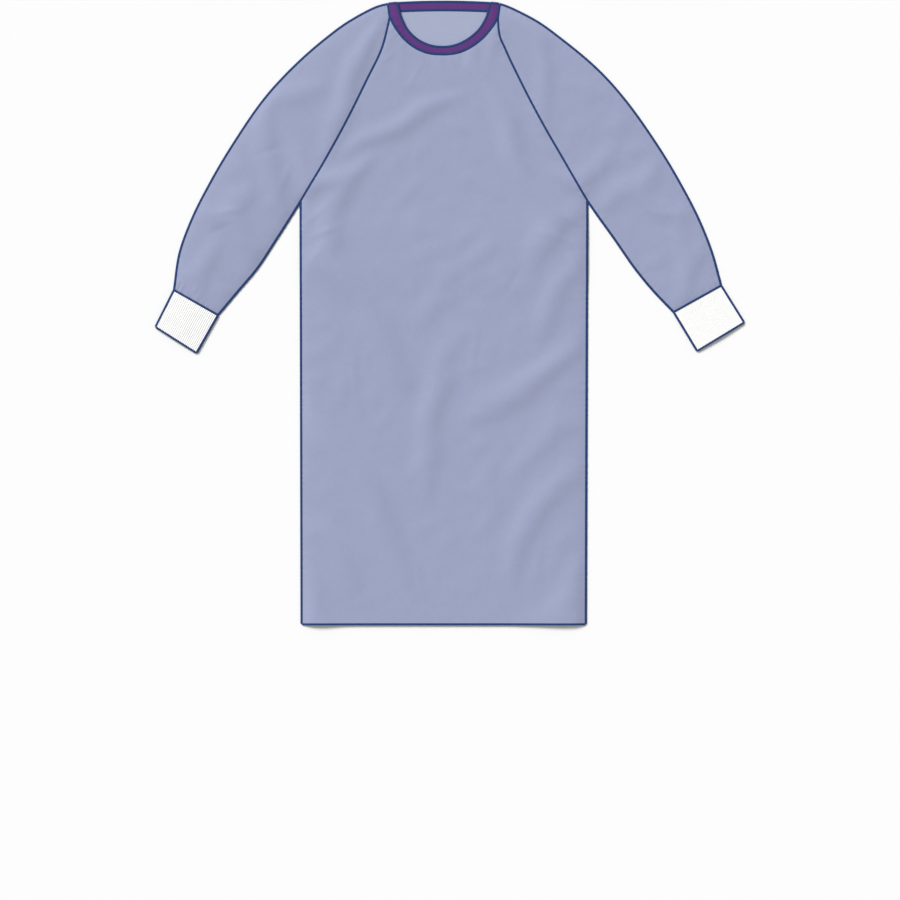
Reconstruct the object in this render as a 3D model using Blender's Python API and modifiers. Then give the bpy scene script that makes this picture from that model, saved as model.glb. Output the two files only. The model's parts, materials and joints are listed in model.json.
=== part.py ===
"""A surgical gown laid out flat on a surface, face up, its back lapped and closed beneath it.

The front layer is the front panel, the front halves of the two raglan sleeves, the front halves of the
rib-knit cuffs and the front stretch of the neck band. It lies on the back layer: two back panels that lap
over the middle, the back halves of the sleeves and cuffs, and the back stretches of the neck band. Two
waist ties lie flat under the back.

Metres. X is 0 on the centre-front line and grows towards the wearer's left, Y grows towards the neck and
is 0 at mid-length, and Z is 0 on the surface. Tables give x outwards from the centre-front line, and down
from the top of the neck band. Right and left are the wearer's, so the right sleeve lies at -X.
"""

import bmesh
import bpy
import numpy as np

# Driving dimensions
LENGTH = 1.250
CLOTH = 0.0012
KNIT = 0.0015
BAND = 0.0016
TIE = 0.0010
LAYER_GAP = 0.0003
SEAM_GAP = 0.0003

# How the front layer lies over the back layer
CROWN = 0.0018
CROWN_RUN = 0.070
NECK_RISE = 0.0015
NECK_RISE_DOWN = 0.120
NECK_RISE_OUT = 0.118
NECK_RAMP = 0.022
LAP = 0.097
LAP_RAMP = 0.018

# Back neckline: depth of the back neck band, and how far each of its edges drops at the shoulder
BACK_BAND_DEPTH = 0.0163
BACK_NECK_DROP = 0.0035
BACK_TOP_DROP = 0.0040

# The grid of each panel: points for each span of a table, distance between rows, and spans across a piece.
# The neckline's curve fades out of the rows within NECK_CURVE_RUN
PER_SPAN = 3
NECK_PER_SPAN = 3
ROW_SPACING = 0.030
NECK_CURVE_RUN = 0.170
HALF_ACROSS = 8
FLAP_ACROSS = 8
BESIDE_RAMP_ACROSS = 3
FRONT_BAND_ACROSS = 3
BACK_BAND_ACROSS = 2
TIE_ACROSS = 2
TIE_ALONG = 4

# Waist ties, lying straight across the back: x of the sewn end, how far down the middle is, and length
TIE_WIDTH = 0.022
TIE_RAMP = 0.016
TIE_FRONT_RAMP = 0.070
TIE_COLUMNS = ("name", "start_x", "down", "length")
TIE_ROWS = (
    ("tie_outer_flap", -0.092, 0.480, 0.370),
    ("tie_side_seam", -0.280, 0.526, 0.450),
)

# Ribs of the knit cuffs
RIB_PITCH = 0.0040
RIB_HEIGHT = 0.0005
CUFF_ROWS = 2

# The neck band's two edges: straight from the shoulder to the front raglan seam, then curved to the
# centre front
NECK_COLUMNS = ("outer_x", "outer_down", "inner_x", "inner_down")
NECK_ROWS = (
    (0.1120, 0.0040, 0.0942, 0.0025),
    (0.1085, 0.0295, 0.0873, 0.0285),
    (0.1015, 0.0435, 0.0818, 0.0407),
    (0.0905, 0.0597, 0.0734, 0.0547),
    (0.0754, 0.0764, 0.0600, 0.0688),
    (0.0553, 0.0913, 0.0438, 0.0801),
    (0.0312, 0.1017, 0.0241, 0.0882),
    (0.0000, 0.1050, 0.0000, 0.0912),
)

# The lowest point of the neckline lies a little to the wearer's right
NECK_LEAN = -0.003

# Sections of each sleeve, from the neck band to the cuff seam: the overarm edge, and the edge that is the
# raglan seam down to the underarm and the underarm seam below it
SLEEVE_COLUMNS = ("over_x", "over_down", "under_x", "under_down")
SLEEVE_ROWS = {
    "right": (
        (0.1120, 0.004, 0.1085, 0.0295),
        (0.134, 0.010, 0.1150, 0.059),
        (0.186, 0.037, 0.1260, 0.097),
        (0.241, 0.077, 0.1550, 0.157),
        (0.308, 0.137, 0.1950, 0.238),
        (0.362, 0.197, 0.2390, 0.318),
        (0.418, 0.278, 0.2875, 0.399),
        (0.466, 0.358, 0.3380, 0.479),
        (0.507, 0.439, 0.3780, 0.539),
        (0.530, 0.502, 0.4120, 0.579),
        (0.542, 0.579, 0.4540, 0.629),
    ),
    "left": (
        (0.1120, 0.004, 0.1085, 0.0295),
        (0.129, 0.010, 0.1105, 0.059),
        (0.183, 0.037, 0.1245, 0.097),
        (0.239, 0.077, 0.1530, 0.157),
        (0.310, 0.137, 0.1950, 0.238),
        (0.364, 0.197, 0.2410, 0.318),
        (0.422, 0.278, 0.2880, 0.398),
        (0.471, 0.358, 0.3450, 0.479),
        (0.513, 0.439, 0.3870, 0.539),
        (0.537, 0.499, 0.4200, 0.579),
        (0.557, 0.570, 0.4620, 0.623),
    ),
}
UNDERARM_ROW = 6

# The last section, at the end of the cuff, has the same columns
CUFF_END = {
    "right": (0.579, 0.653, 0.497, 0.705),
    "left": (0.603, 0.644, 0.509, 0.701),
}
HEM_HALF_WIDTH = {"right": 0.2855, "left": 0.2850}

# Which way along X each side lies
OUTWARD = {"right": -1.0, "left": 1.0}

# Which point of the neck band's edges is the front raglan corner
NECK_CORNER = 2

# The largest soft ridges of the front layer: x (not mirrored) and down of the middle, heading from +X
# towards the neck in degrees, length, half width and height
FOLD_COLUMNS = ("x", "down", "heading", "length", "half_width", "height")
FOLD_ROWS = (
    (-0.180, 0.160, 68, 0.36, 0.024, 0.0040),
    (-0.074, 0.237, 25, 0.28, 0.022, 0.0030),
    (-0.286, 0.181, 15, 0.14, 0.022, 0.0020),
    (-0.347, 0.328, 101, 0.25, 0.022, 0.0040),
    (-0.419, 0.443, 144, 0.17, 0.022, 0.0032),
    (-0.486, 0.536, 67, 0.12, 0.022, 0.0018),
    (-0.278, 0.320, 114, 0.12, 0.022, 0.0030),
    (-0.198, 0.347, 19, 0.15, 0.022, 0.0030),
    (-0.232, 0.440, 77, 0.20, 0.024, 0.0036),
    (-0.206, 0.555, 137, 0.20, 0.024, 0.0040),
    (-0.115, 0.691, 113, 0.26, 0.026, 0.0046),
    (-0.218, 0.872, 127, 0.22, 0.024, 0.0042),
    (-0.118, 1.048, 110, 0.32, 0.026, 0.0048),
    (-0.214, 1.104, 121, 0.19, 0.022, 0.0030),
    (-0.258, 1.200, 114, 0.14, 0.022, 0.0034),
    (-0.026, 0.840, 82, 0.32, 0.026, 0.0026),
    (0.166, 0.771, 32, 0.32, 0.026, 0.0032),
    (0.186, 1.024, 57, 0.30, 0.026, 0.0032),
    (0.210, 0.872, 50, 0.16, 0.022, 0.0018),
    (0.222, 0.600, 62, 0.20, 0.024, 0.0028),
    (0.101, 0.184, 122, 0.21, 0.024, 0.0042),
    (0.154, 0.304, 107, 0.17, 0.024, 0.0044),
    (0.213, 0.400, 137, 0.16, 0.024, 0.0042),
    (0.205, 0.464, 54, 0.14, 0.024, 0.0026),
    (0.166, 0.067, 132, 0.14, 0.022, 0.0030),
    (0.205, 0.176, 88, 0.20, 0.022, 0.0034),
    (0.310, 0.344, 42, 0.15, 0.022, 0.0024),
    (0.370, 0.381, 12, 0.12, 0.022, 0.0026),
    (0.442, 0.411, 140, 0.13, 0.022, 0.0030),
    (0.490, 0.512, 89, 0.20, 0.022, 0.0032),
    (0.258, 1.190, 57, 0.16, 0.022, 0.0030),
)

COLOURS = {
    "cloth": ((0.335, 0.370, 0.530), 0.75),
    "knit": ((0.900, 0.900, 0.880), 0.95),
    "band": ((0.147, 0.042, 0.202), 0.80),
}


def down_to_y(down):
    return LENGTH / 2 - np.asarray(down)


def ease(share):
    """Rises from 0 to 1 and arrives level."""
    held = np.clip(share, 0, 1)
    return held * (2 - held)


def smooth_step(share):
    """Rises from 0 to 1, level at both ends."""
    held = np.clip(share, 0, 1)
    return held * held * (3 - 2 * held)


def smooth_through(rows, per_span=PER_SPAN):
    """A cubic curve through the rows, sampled per_span times between each two."""
    rows = np.array(rows, float)
    steps = np.linalg.norm(np.diff(rows, axis=0), axis=1)
    along = np.concatenate([[0], np.cumsum(steps)])
    slopes = np.gradient(rows, along, axis=0)
    made = [rows[:1]]
    for i, step in enumerate(steps):
        t = (np.arange(1, per_span + 1) / per_span)[:, None]
        made.append(
            (1 + 2 * t) * (1 - t) ** 2 * rows[i]
            + t * (1 - t) ** 2 * step * slopes[i]
            + t * t * (3 - 2 * t) * rows[i + 1]
            + t * t * (t - 1) * step * slopes[i + 1]
        )
    return np.concatenate(made)


def moved_sideways(line, distance):
    """A line in plan, moved to its left by distance, with mitred corners."""
    heading = np.diff(line, axis=0)
    heading /= np.linalg.norm(heading, axis=1)[:, None]
    left = np.stack([-heading[:, 1], heading[:, 0]], axis=1)
    before = np.concatenate([left[:1], left])
    after = np.concatenate([left, left[-1:]])
    mitre = (before + after) / (1 + (before * after).sum(axis=1))[:, None]
    return line + distance * mitre


def with_cut_ends(over, under, start, end):
    """The two side edges of a piece, with its ends moved in by start and end."""
    over, under = over.copy(), under.copy()
    for i, inward, distance in ((0, 1, start), (-1, -2, end)):
        across = under[i] - over[i]
        normal = np.array([-across[1], across[0]]) / np.linalg.norm(across)
        normal *= np.sign(normal @ (over[inward] - over[i]))
        for edge in (over, under):
            run = edge[inward] - edge[i]
            edge[i] += run * distance / (run @ normal)
    return over, under


def distance_to(line, plan):
    """How far each point of plan is from a line in plan."""
    nearest = np.full(plan.shape[:-1], np.inf)
    for a, b in zip(line[:-1], line[1:]):
        reach = b - a
        share = np.clip(((plan - a) @ reach) / (reach @ reach), 0, 1)
        nearest = np.minimum(nearest, np.linalg.norm(plan - a - share[..., None] * reach, axis=-1))
    return nearest


def sleeve_edges(side, layer="front"):
    """The overarm edge, and the raglan and underarm edge, of one half of a sleeve, in plan."""
    rows = [list(row) for row in SLEEVE_ROWS[side]]
    if layer == "back":
        rows[0][2:] = back_corner()
    samples = smooth_through(rows)
    over = np.stack([OUTWARD[side] * samples[:, 0], down_to_y(samples[:, 1])], axis=1)
    under = np.stack([OUTWARD[side] * samples[:, 2], down_to_y(samples[:, 3])], axis=1)
    return over, under


def cuff_edges(side):
    """The two side edges of a cuff, from the cuff seam to its end, in plan."""
    over_x, over_down, under_x, under_down = CUFF_END[side]
    over, under = sleeve_edges(side)
    over_end = np.array([OUTWARD[side] * over_x, down_to_y(over_down)])
    under_end = np.array([OUTWARD[side] * under_x, down_to_y(under_down)])
    share = np.linspace(0, 1, CUFF_ROWS + 1)[:, None]
    return over[-1] + share * (over_end - over[-1]), under[-1] + share * (under_end - under[-1])


def neck_edges():
    """The outer and inner edge of the front neck band from the right shoulder to the left, in plan."""
    rows = np.array(NECK_ROWS)
    past_centre = rows[-2:-1] * (-1, 1, -1, 1)
    curve = smooth_through([*rows[1:], *past_centre], NECK_PER_SPAN)[:-NECK_PER_SPAN]
    half = np.concatenate([rows[:1], rows[:2].mean(axis=0)[None], curve])
    outer = np.stack([half[:, 0], down_to_y(half[:, 1])], axis=1)
    inner = np.stack([half[:, 2], down_to_y(half[:, 3])], axis=1)
    corner, lowest = NECK_ROWS[1][1], NECK_ROWS[-1][1]
    lean = NECK_LEAN * smooth_step((half[:, 1] - corner) / (lowest - corner))
    both = []
    for edge in (outer, inner):
        right = edge * (-1, 1)
        right[:, 0] += lean
        edge[:, 0] += lean
        both.append(np.concatenate([right, edge[-2::-1]]))
    return both


def back_neck_down(x):
    """How far down the back neckline is, where the back neck band is sewn on."""
    return BACK_BAND_DEPTH + BACK_NECK_DROP * (np.asarray(x) / NECK_ROWS[0][0]) ** 2


def back_top_down(x):
    """How far down the top edge of the back neck band is."""
    return BACK_TOP_DROP * (np.asarray(x) / NECK_ROWS[0][0]) ** 2


def back_corner():
    """x and down of the place where the back raglan seam meets the back neckline."""
    shoulder_x, shoulder_down, front_x, front_down = *NECK_ROWS[0][:2], *NECK_ROWS[1][:2]
    share = (back_neck_down(shoulder_x) - shoulder_down) / (front_down - shoulder_down)
    corner_x = shoulder_x + share * (front_x - shoulder_x)
    return corner_x, float(back_neck_down(corner_x))


def flap_stations(side_x, flap):
    """x of the points across a back flap, from its side edge at side_x to its free edge. The inner flap
    has some along its ramp on to the outer flap."""
    if flap == "outer":
        return np.linspace(side_x, -LAP, FLAP_ACROSS + 1)
    ramp = min(LAP_RAMP, (-LAP - side_x) / 2)
    return np.concatenate([
        np.linspace(side_x, -LAP - ramp, BESIDE_RAMP_ACROSS + 1),
        [-LAP - ramp * 2 / 3, -LAP - ramp / 3],
        np.linspace(-LAP, LAP, FLAP_ACROSS + 1),
    ])


def closed_contour():
    """The edges along which the front and back layers are sewn together, in plan."""
    lines = []
    for side, outward in OUTWARD.items():
        over, under = sleeve_edges(side)
        cuff_over, cuff_under = cuff_edges(side)
        underarm = UNDERARM_ROW * PER_SPAN
        lines.append(np.concatenate([over, cuff_over[1:]]))
        lines.append(np.concatenate([under[underarm:], cuff_under[1:]]))
        hem = np.array([outward * HEM_HALF_WIDTH[side], down_to_y(LENGTH)])
        lines.append(np.stack([under[underarm], hem]))
    return lines


def tie_lift(down, ramp):
    """How far the waist ties lift the cloth that lies on them."""
    lift = np.zeros_like(down)
    for row in TIE_ROWS:
        tie = dict(zip(TIE_COLUMNS, row))
        clear = np.abs(down - tie["down"]) - TIE_WIDTH / 2
        lift = np.maximum(lift, (TIE + LAYER_GAP) * smooth_step(1 - clear / ramp))
    return lift


def fold_height(plan):
    """The soft ridges of the front layer: each fades towards its ends and sides."""
    height = np.zeros(plan.shape[:-1])
    for row in FOLD_ROWS:
        fold = dict(zip(FOLD_COLUMNS, row))
        heading = np.radians(fold["heading"])
        axis = np.array([np.cos(heading), np.sin(heading)])
        offset = plan - np.array([fold["x"], down_to_y(fold["down"])])
        along = offset @ axis / (fold["length"] / 2)
        across = (offset @ np.array([-axis[1], axis[0]])) / fold["half_width"]
        height += fold["height"] * smooth_step(1 - np.abs(along)) * np.exp(-(across**2))
    return height


def neck_rise(plan):
    """How far the front layer climbs at the neck, where both back flaps and their bands lie under it."""
    above = smooth_step(1 - (LENGTH / 2 - plan[..., 1]) / NECK_RISE_DOWN)
    return NECK_RISE * above * smooth_step((NECK_RISE_OUT - np.abs(plan[..., 0])) / NECK_RAMP)


def front_height(plan, beneath=CLOTH):
    """The underside of the front layer: a layer and a gap above the surface along the sewn contour, and
    fuller inside it, near the neck, over the waist ties and on the folds."""
    inside = np.min([distance_to(line, plan) for line in closed_contour()], axis=0)
    on_body = np.abs(plan[..., 0]) < SLEEVE_ROWS["left"][UNDERARM_ROW][2] + SEAM_GAP
    fullness = ease(inside / CROWN_RUN)
    return (
        beneath
        + LAYER_GAP
        + CROWN * fullness
        + neck_rise(plan)
        + on_body * tie_lift(LENGTH / 2 - plan[..., 1], TIE_FRONT_RAMP)
        + fold_height(plan) * fullness
    )


def back_height(plan, flap):
    """The underside of a back panel: flat on the surface but for the waist ties, and on the inner flap,
    for the outer flap that lies under it."""
    height = tie_lift(LENGTH / 2 - plan[..., 1], TIE_RAMP)
    if flap == "inner":
        height += (CLOTH + LAYER_GAP) * smooth_step((plan[..., 0] + LAP) / LAP_RAMP + 1)
    return height


def collection_named(name):
    made = bpy.data.collections.new(name)
    bpy.context.scene.collection.children.link(made)
    return made


def material_named(name):
    found = bpy.data.materials.get(name)
    if found:
        return found
    colour, roughness = COLOURS[name]
    made = bpy.data.materials.new(name)
    made.use_nodes = True
    shader = made.node_tree.nodes["Principled BSDF"]
    shader.inputs["Base Color"].default_value = (*colour, 1)
    shader.inputs["Roughness"].default_value = roughness
    shader.inputs["Metallic"].default_value = 0
    return made


def cloth_wall(name, points, wall, material, thin=None):
    """One piece of cloth. points is a grid of the underside's points, and Solidify adds the wall above.
    thin is the share of the wall at each point, for a surface with ribs."""
    rows, columns = points.shape[0] - 1, points.shape[1] - 1
    grid = bmesh.new()
    bmesh.ops.create_grid(grid, x_segments=columns, y_segments=rows, size=0.5)
    for vert in grid.verts:
        row = round((vert.co.y + 0.5) * rows)
        column = round((vert.co.x + 0.5) * columns)
        vert.co = points[row, column]
        vert.index = row * (columns + 1) + column
    grid.verts.sort()
    bmesh.ops.recalc_face_normals(grid, faces=grid.faces)
    if sum(face.normal.z for face in grid.faces) < 0:
        bmesh.ops.reverse_faces(grid, faces=grid.faces)
    mesh = bpy.data.meshes.new(name)
    grid.to_mesh(mesh)
    grid.free()
    mesh.materials.append(material_named(material))
    made = bpy.data.objects.new(name, mesh)
    GOWN.objects.link(made)
    solidify = made.modifiers.new("wall", "SOLIDIFY")
    solidify.thickness = wall
    solidify.offset = 1
    if thin is not None:
        ribs = made.vertex_groups.new(name="ribs")
        for index, share in enumerate(thin.ravel()):
            ribs.add([index], float(share), "REPLACE")
        solidify.vertex_group = ribs.name
    return made


def between(first, second, across):
    """The plan points between two edges that have as many points as each other."""
    share = np.linspace(0, 1, across + 1)[None, :, None]
    return first[:, None, :] * (1 - share) + second[:, None, :] * share


def with_height(plan, height):
    return np.concatenate([plan, height[..., None]], axis=-1)


def skirt_levels():
    """y of the rows of a body panel, from below the underarm to the hem. Both layers bend at the same
    rows over the waist ties, so that they stay clear of each other."""
    bends = []
    for row in TIE_ROWS:
        tie = dict(zip(TIE_COLUMNS, row))
        for clear in (-TIE_RAMP, 0, TIE_WIDTH, TIE_WIDTH + TIE_RAMP):
            bends.append(tie["down"] - TIE_WIDTH / 2 + clear)
    below = np.linspace(max(bends), LENGTH, round((LENGTH - max(bends)) / ROW_SPACING))
    return down_to_y([*sorted(bends), *below[1:]])


def side_edge(side, layer):
    """The side edge of a body panel: down its raglan seam and its side seam, to the hem, in plan."""
    raglan = sleeve_edges(side, layer)[1][: UNDERARM_ROW * PER_SPAN + 1]
    levels = skirt_levels()
    underarm = raglan[-1]
    share = (levels - underarm[1]) / (levels[-1] - underarm[1])
    hem_x = OUTWARD[side] * HEM_HALF_WIDTH[side]
    seam = np.stack([underarm[0] + share * (hem_x - underarm[0]), levels], axis=1)
    return np.concatenate([raglan, seam])


def curve_left(row_y, corner_y):
    """How much of the neckline's curve a row keeps: all of it at the neck, and none a little lower."""
    return np.clip(1 - (corner_y - row_y) / NECK_CURVE_RUN, 0, 1)


def front_panel():
    """Its rows run from side to side, between the right and the left edge, under the neckline."""
    right, left = side_edge("right", "front"), side_edge("left", "front")
    neckline = neck_edges()[0][NECK_CORNER + 1 : -NECK_CORNER - 1]
    outline = moved_sideways(np.concatenate([right[::-1], neckline, left]), -SEAM_GAP / 2)
    right, left = outline[: len(right)][::-1], outline[-len(left) :]
    neckline = outline[len(right) - 1 : 1 - len(left)]
    even = np.linspace(0, 1, len(neckline))
    neck_share = (neckline[:, 0] - right[0, 0]) / (left[0, 0] - right[0, 0])
    straight = right[0] + neck_share[:, None] * (left[0] - right[0])
    rows = []
    for start, end in zip(right, left):
        kept = curve_left(start[1], right[0, 1])
        share = even + kept * (neck_share - even)
        rows.append(start + share[:, None] * (end - start) + kept * (neckline - straight))
    plan = np.array(rows)
    cloth_wall("front", with_height(plan, front_height(plan)), CLOTH, "cloth")


def back_panel(side, flap):
    """A back panel, from its side edge to its free edge past the middle, under the back neckline."""
    rows = []
    edge = moved_sideways(side_edge(side, "back"), -OUTWARD[side] * SEAM_GAP / 2)
    for start in edge:
        x = flap_stations(start[0], flap)
        drop = back_neck_down(x) - back_neck_down(x[0])
        rows.append(np.stack([x, start[1] - curve_left(start[1], edge[0, 1]) * drop], axis=1))
    plan = np.array(rows)
    plan[0, :, 1] -= SEAM_GAP / 2
    cloth_wall(f"back_{side}", with_height(plan, back_height(plan, flap)), CLOTH, "cloth")


def sleeve_half(side, layer):
    over, under = sleeve_edges(side, layer)
    under = moved_sideways(under, OUTWARD[side] * SEAM_GAP / 2)
    over, under = with_cut_ends(over, under, SEAM_GAP / 2, SEAM_GAP / 2)
    plan = between(over, under, HALF_ACROSS)
    height = front_height(plan) if layer == "front" else np.zeros(plan.shape[:-1])
    cloth_wall(f"sleeve_{side}_{layer}", with_height(plan, height), CLOTH, "cloth")


def cuff_half(side, layer):
    """The front half has raised ribs. The back half rests flat."""
    over, under = with_cut_ends(*cuff_edges(side), SEAM_GAP / 2, 0)
    ribs = round(np.linalg.norm(over[0] - under[0]) / RIB_PITCH)
    across = 2 * ribs if layer == "front" else HALF_ACROSS
    plan = between(over, under, across)
    if layer == "back":
        cloth_wall(f"cuff_{side}_back", with_height(plan, np.zeros(plan.shape[:-1])), KNIT, "knit")
        return
    valley = KNIT / (KNIT + RIB_HEIGHT)
    peaks = np.arange(across + 1) % 2
    thin = np.broadcast_to(np.where(peaks, 1.0, valley), plan.shape[:-1])
    points = with_height(plan, front_height(plan, KNIT))
    cloth_wall(f"cuff_{side}_front", points, KNIT + RIB_HEIGHT, "knit", thin)


def neck_band_front():
    outer, inner = neck_edges()
    plan = between(moved_sideways(outer, SEAM_GAP / 2), inner, FRONT_BAND_ACROSS)
    cloth_wall("neck_band_front", with_height(plan, front_height(plan)), BAND, "band")


def neck_band_back(side, flap):
    """The stretch of the band on one back flap, from its shoulder to its free end."""
    inward = -OUTWARD[side] * SEAM_GAP / 2
    seam_x = flap_stations(OUTWARD[side] * back_corner()[0] + inward, flap)
    top_x = flap_stations(OUTWARD[side] * NECK_ROWS[0][0] + inward, flap)
    seam = np.stack([seam_x, down_to_y(back_neck_down(seam_x)) + SEAM_GAP / 2], axis=1)
    top = np.stack([top_x, down_to_y(back_top_down(top_x))], axis=1)
    plan = between(top, seam, BACK_BAND_ACROSS)
    cloth_wall(f"neck_band_back_{side}", with_height(plan, back_height(plan, flap)), CLOTH, "band")


def waist_tie(name, start_x, down, length):
    edge = np.linspace(start_x, start_x + length, TIE_ALONG + 1)
    near = np.stack([edge, np.full_like(edge, down_to_y(down - TIE_WIDTH / 2))], axis=1)
    far = np.stack([edge, np.full_like(edge, down_to_y(down + TIE_WIDTH / 2))], axis=1)
    plan = between(near, far, TIE_ACROSS)
    cloth_wall(name, with_height(plan, np.zeros(plan.shape[:-1])), TIE, "cloth")


def main():
    front_panel()
    back_panel("left", "outer")
    back_panel("right", "inner")
    for side in OUTWARD:
        for layer in ("front", "back"):
            sleeve_half(side, layer)
            cuff_half(side, layer)
    neck_band_front()
    neck_band_back("left", "outer")
    neck_band_back("right", "inner")
    for row in TIE_ROWS:
        waist_tie(**dict(zip(TIE_COLUMNS, row)))


for old in list(bpy.data.objects):
    bpy.data.objects.remove(old)
GOWN = collection_named("surgical_gown")
main()
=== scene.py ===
"""The looks of the surgical gown, laid out flat and face up.

Each solid is replaced by a thin shell of the same outline on the same form, with finer folds. The cloth is
periwinkle nonwoven, the neck band purple tape, the cuffs white rib knit, and every seam and edge is
overlocked in navy thread. Sizes are in metres: X grows from the centre-front line towards the wearer's
left, Y from mid-length towards the neck, and Z from the surface up. Outlines have x outwards from the
centre-front line, and ties, folds and creases have x along X. Down is from the top of the neck band.
"""

import json

import bpy
import numpy as np
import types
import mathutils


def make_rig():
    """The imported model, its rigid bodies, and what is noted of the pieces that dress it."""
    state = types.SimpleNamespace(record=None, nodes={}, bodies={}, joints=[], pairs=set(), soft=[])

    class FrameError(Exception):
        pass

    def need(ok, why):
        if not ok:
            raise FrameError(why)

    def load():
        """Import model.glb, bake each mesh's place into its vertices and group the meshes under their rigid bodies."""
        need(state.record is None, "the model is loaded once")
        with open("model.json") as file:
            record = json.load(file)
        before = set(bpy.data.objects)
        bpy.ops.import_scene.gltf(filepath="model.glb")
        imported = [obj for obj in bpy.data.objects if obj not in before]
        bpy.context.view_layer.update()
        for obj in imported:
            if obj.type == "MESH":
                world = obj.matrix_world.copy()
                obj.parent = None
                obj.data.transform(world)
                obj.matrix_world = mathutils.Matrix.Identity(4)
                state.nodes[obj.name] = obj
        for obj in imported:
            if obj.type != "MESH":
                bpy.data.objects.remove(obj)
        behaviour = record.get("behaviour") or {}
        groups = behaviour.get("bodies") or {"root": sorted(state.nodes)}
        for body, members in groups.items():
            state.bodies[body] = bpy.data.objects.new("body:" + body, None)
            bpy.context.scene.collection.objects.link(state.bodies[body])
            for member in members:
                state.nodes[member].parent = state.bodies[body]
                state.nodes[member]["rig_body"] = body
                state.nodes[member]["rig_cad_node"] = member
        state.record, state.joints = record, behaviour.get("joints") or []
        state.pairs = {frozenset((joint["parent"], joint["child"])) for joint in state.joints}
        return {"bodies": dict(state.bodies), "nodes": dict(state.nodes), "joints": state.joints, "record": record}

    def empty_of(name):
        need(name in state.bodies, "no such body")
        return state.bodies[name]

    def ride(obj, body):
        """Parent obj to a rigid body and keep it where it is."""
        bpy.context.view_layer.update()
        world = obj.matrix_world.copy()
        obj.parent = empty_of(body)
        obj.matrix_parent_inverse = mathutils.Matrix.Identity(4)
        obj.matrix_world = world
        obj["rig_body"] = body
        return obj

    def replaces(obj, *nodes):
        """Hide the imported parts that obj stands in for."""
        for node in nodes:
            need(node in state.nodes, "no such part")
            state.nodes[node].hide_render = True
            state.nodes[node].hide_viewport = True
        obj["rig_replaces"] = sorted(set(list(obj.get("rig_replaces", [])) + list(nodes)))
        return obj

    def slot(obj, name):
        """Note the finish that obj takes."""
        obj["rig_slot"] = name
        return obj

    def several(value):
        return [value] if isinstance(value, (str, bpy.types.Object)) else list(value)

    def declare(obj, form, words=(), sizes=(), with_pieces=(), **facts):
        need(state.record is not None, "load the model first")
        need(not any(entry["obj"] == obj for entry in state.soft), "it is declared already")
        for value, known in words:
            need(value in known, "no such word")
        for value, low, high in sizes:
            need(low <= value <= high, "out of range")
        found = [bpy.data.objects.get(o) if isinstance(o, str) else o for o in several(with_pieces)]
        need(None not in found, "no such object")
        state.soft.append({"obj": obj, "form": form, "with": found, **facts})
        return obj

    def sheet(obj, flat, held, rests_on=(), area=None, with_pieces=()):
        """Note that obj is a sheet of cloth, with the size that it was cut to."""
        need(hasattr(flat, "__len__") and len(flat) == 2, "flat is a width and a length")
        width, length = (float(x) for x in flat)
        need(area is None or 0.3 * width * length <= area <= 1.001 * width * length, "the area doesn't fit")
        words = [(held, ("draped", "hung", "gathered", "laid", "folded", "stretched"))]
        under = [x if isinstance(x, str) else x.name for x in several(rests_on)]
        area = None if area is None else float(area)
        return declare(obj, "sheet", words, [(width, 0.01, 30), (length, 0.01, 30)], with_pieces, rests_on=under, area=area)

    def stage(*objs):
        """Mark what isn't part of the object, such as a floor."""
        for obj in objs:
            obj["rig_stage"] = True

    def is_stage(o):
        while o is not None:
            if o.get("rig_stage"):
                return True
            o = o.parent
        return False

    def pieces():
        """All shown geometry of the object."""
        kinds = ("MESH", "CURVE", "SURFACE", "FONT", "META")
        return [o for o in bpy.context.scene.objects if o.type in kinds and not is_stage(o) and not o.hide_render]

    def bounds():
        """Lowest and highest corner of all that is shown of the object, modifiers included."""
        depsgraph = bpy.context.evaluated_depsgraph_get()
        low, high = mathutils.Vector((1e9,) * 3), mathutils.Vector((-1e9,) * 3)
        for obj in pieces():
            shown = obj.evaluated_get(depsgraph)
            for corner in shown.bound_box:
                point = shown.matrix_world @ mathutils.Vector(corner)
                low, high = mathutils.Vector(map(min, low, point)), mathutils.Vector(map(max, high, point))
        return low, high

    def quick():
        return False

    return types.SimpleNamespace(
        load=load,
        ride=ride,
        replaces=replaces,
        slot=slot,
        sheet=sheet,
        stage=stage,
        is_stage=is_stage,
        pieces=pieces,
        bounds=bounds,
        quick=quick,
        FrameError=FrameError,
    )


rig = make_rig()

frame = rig.load()
solids_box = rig.bounds()

# Sizes that the solids have too
LENGTH = 1.250
CLOTH = 0.0012
KNIT = 0.0015
BAND = 0.0016
TIE = 0.0010
LAYER_GAP = 0.0003
SEAM_GAP = 0.0003
CROWN = 0.0018
CROWN_RUN = 0.070
NECK_RISE = 0.0015
NECK_RISE_DOWN = 0.120
NECK_RISE_OUT = 0.118
NECK_RAMP = 0.022
LAP = 0.097
LAP_RAMP = 0.018
BACK_BAND_DEPTH = 0.0163
BACK_NECK_DROP = 0.0035
BACK_TOP_DROP = 0.0040
NECK_CURVE_RUN = 0.170
TIE_WIDTH = 0.022
TIE_RAMP = 0.016
TIE_FRONT_RAMP = 0.070
# Waist ties: name, start_x, down of the middle, length
TIE_ROWS = (
    ("tie_outer_flap", -0.092, 0.480, 0.370),
    ("tie_side_seam", -0.280, 0.526, 0.450),
)
RIB_PITCH = 0.0040
# Edges of the front neck band: outer_x, outer_down, inner_x, inner_down
NECK_ROWS = (
    (0.112, 0.004, 0.0942, 0.0025),
    (0.1085, 0.0295, 0.0873, 0.0285),
    (0.1015, 0.0435, 0.0818, 0.0407),
    (0.0905, 0.0597, 0.0734, 0.0547),
    (0.0754, 0.0764, 0.06, 0.0688),
    (0.0553, 0.0913, 0.0438, 0.0801),
    (0.0312, 0.1017, 0.0241, 0.0882),
    (0.0, 0.105, 0.0, 0.0912),
)
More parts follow.
